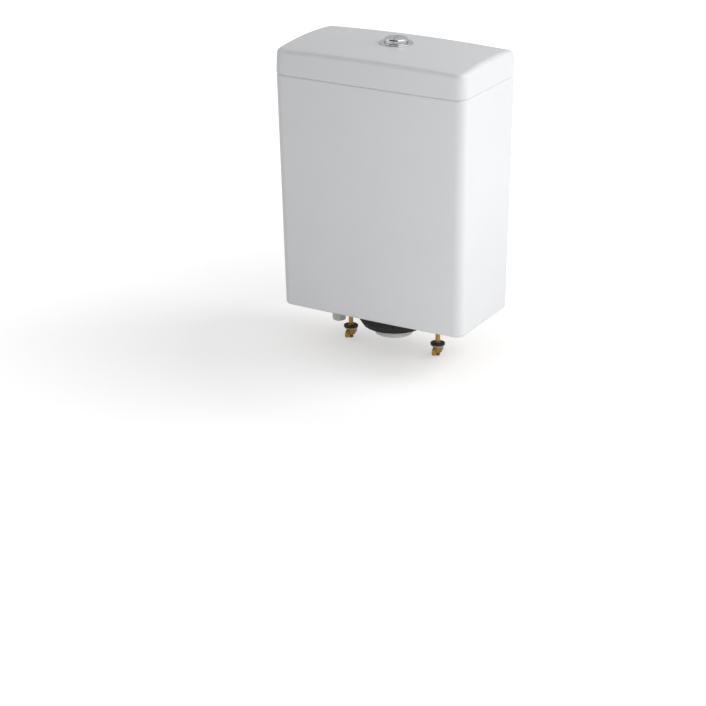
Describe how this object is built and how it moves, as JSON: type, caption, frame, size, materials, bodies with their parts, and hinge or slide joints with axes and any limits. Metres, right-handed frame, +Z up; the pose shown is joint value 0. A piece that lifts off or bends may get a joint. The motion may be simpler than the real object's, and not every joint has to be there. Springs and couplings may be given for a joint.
{
  "type": "toilet cistern",
  "caption": "Narrow close-coupled ceramic toilet cistern with lift-off lid, split flush button, flush valve, float fill valve and coupling kit.",
  "frame": {"origin": "on the flush outlet's axis, in the plane of the foot under the tank", "axes": "+X to the right seen from the front, +Y towards the wall, +Z up"},
  "size_m": [0.3116, 0.1668, 0.4801],
  "materials": {
    "glazed_ceramic": "white gloss glaze",
    "chrome": "polished chrome plate",
    "white_plastic": "moulded, light sheen",
    "grey_plastic": "moulded, satin",
    "blue_plastic": "moulded, satin",
    "green_plastic": "moulded, satin",
    "strainer_plastic": "moulded, satin",
    "black_rubber": "moulded, matte",
    "red_silicone": "moulded, satin",
    "stainless_steel": "drawn wire and plain washers",
    "brass": "turned, lightly dulled"
  },
  "bodies": {
    "cistern": {"cistern_tank": "glazed_ceramic", "outlet_base": "white_plastic", "outlet_gasket": "black_rubber", "outlet_backnut": "white_plastic", "doughnut_seal": "black_rubber", "valve_tower": "white_plastic", "lever_pin": "stainless_steel", "inlet_shank": "white_plastic", "inlet_washer": "black_rubber", "inlet_backnut": "white_plastic", "inlet_strainer": "strainer_plastic", "riser_sleeve": "white_plastic", "fill_head": "white_plastic", "fill_diaphragm": "black_rubber", "fill_cap": "grey_plastic", "float_pin": "stainless_steel", "coupling_bolts": "brass", "bolt_seals": "black_rubber", "pan_washers": "black_rubber", "bolt_washers": "stainless_steel", "wing_nuts": "brass"},
    "lid": {"cistern_lid": "glazed_ceramic", "button_bezel": "chrome", "bezel_washer": "black_rubber", "bezel_locknut": "white_plastic", "button_guide": "white_plastic", "full_button_spring": "stainless_steel", "half_button_spring": "stainless_steel"},
    "full_button": {"full_flush_button": "chrome", "full_flush_rod": "grey_plastic"},
    "half_button": {"half_flush_button": "chrome", "half_flush_rod": "grey_plastic"},
    "flush_lever": {"full_flush_lever": "blue_plastic"},
    "spindle": {"overflow_tube": "grey_plastic", "lift_yoke": "blue_plastic", "seal_carrier": "white_plastic", "seat_seal": "red_silicone"},
    "half_trip": {"half_flush_trip": "green_plastic", "half_flush_float": "green_plastic"},
    "fill_float": {"float_cup": "grey_plastic", "float_rod": "grey_plastic", "float_adjuster": "blue_plastic"},
    "fill_lever": {"float_lever": "blue_plastic"}
  },
  "joints": [
    {"name": "lid_lift", "type": "slide", "parent": "cistern", "child": "lid", "axis": [0, 0, 1], "range_m": [0, 0.13]},
    {"name": "full_flush_press", "type": "slide", "parent": "lid", "child": "full_button", "axis": [0, 0, -1], "range_m": [0, 0.008], "stiffness_N_per_m": 400, "springref_m": -0.01, "deforming": ["full_button_spring"]},
    {"name": "half_flush_press", "type": "slide", "parent": "lid", "child": "half_button", "axis": [0, 0, -1], "range_m": [0, 0.008], "stiffness_N_per_m": 400, "springref_m": -0.01, "deforming": ["half_button_spring"]},
    {"name": "flush_lever_rock", "type": "hinge", "parent": "cistern", "child": "flush_lever", "pos_m": [0.03, 0.00177, 0.3], "axis": [0, -1, 0], "range_deg": [0, 21.67]},
    {"name": "spindle_lift", "type": "slide", "parent": "cistern", "child": "spindle", "axis": [0, 0, 1], "range_m": [0, 0.008]},
    {"name": "half_trip_push", "type": "slide", "parent": "cistern", "child": "half_trip", "axis": [0, 0, -1], "range_m": [0, 0.008]},
    {"name": "float_rise", "type": "slide", "parent": "cistern", "child": "fill_float", "axis": [0, 0, 1], "range_m": [0, 0.012]},
    {"name": "float_lever_swing", "type": "hinge", "parent": "cistern", "child": "fill_lever", "pos_m": [-0.106, 0.013, 0.272], "axis": [-1, 0, 0], "range_deg": [0, 34.94]}
  ],
  "couplings": [
    {"joint": "flush_lever_rock", "follows": "full_flush_press", "rad_per_m": 47.229},
    {"joint": "spindle_lift", "follows": "full_flush_press", "ratio": 1},
    {"joint": "half_trip_push", "follows": "half_flush_press", "ratio": 1},
    {"joint": "float_lever_swing", "follows": "float_rise", "rad_per_m": 50.782}
  ]
}
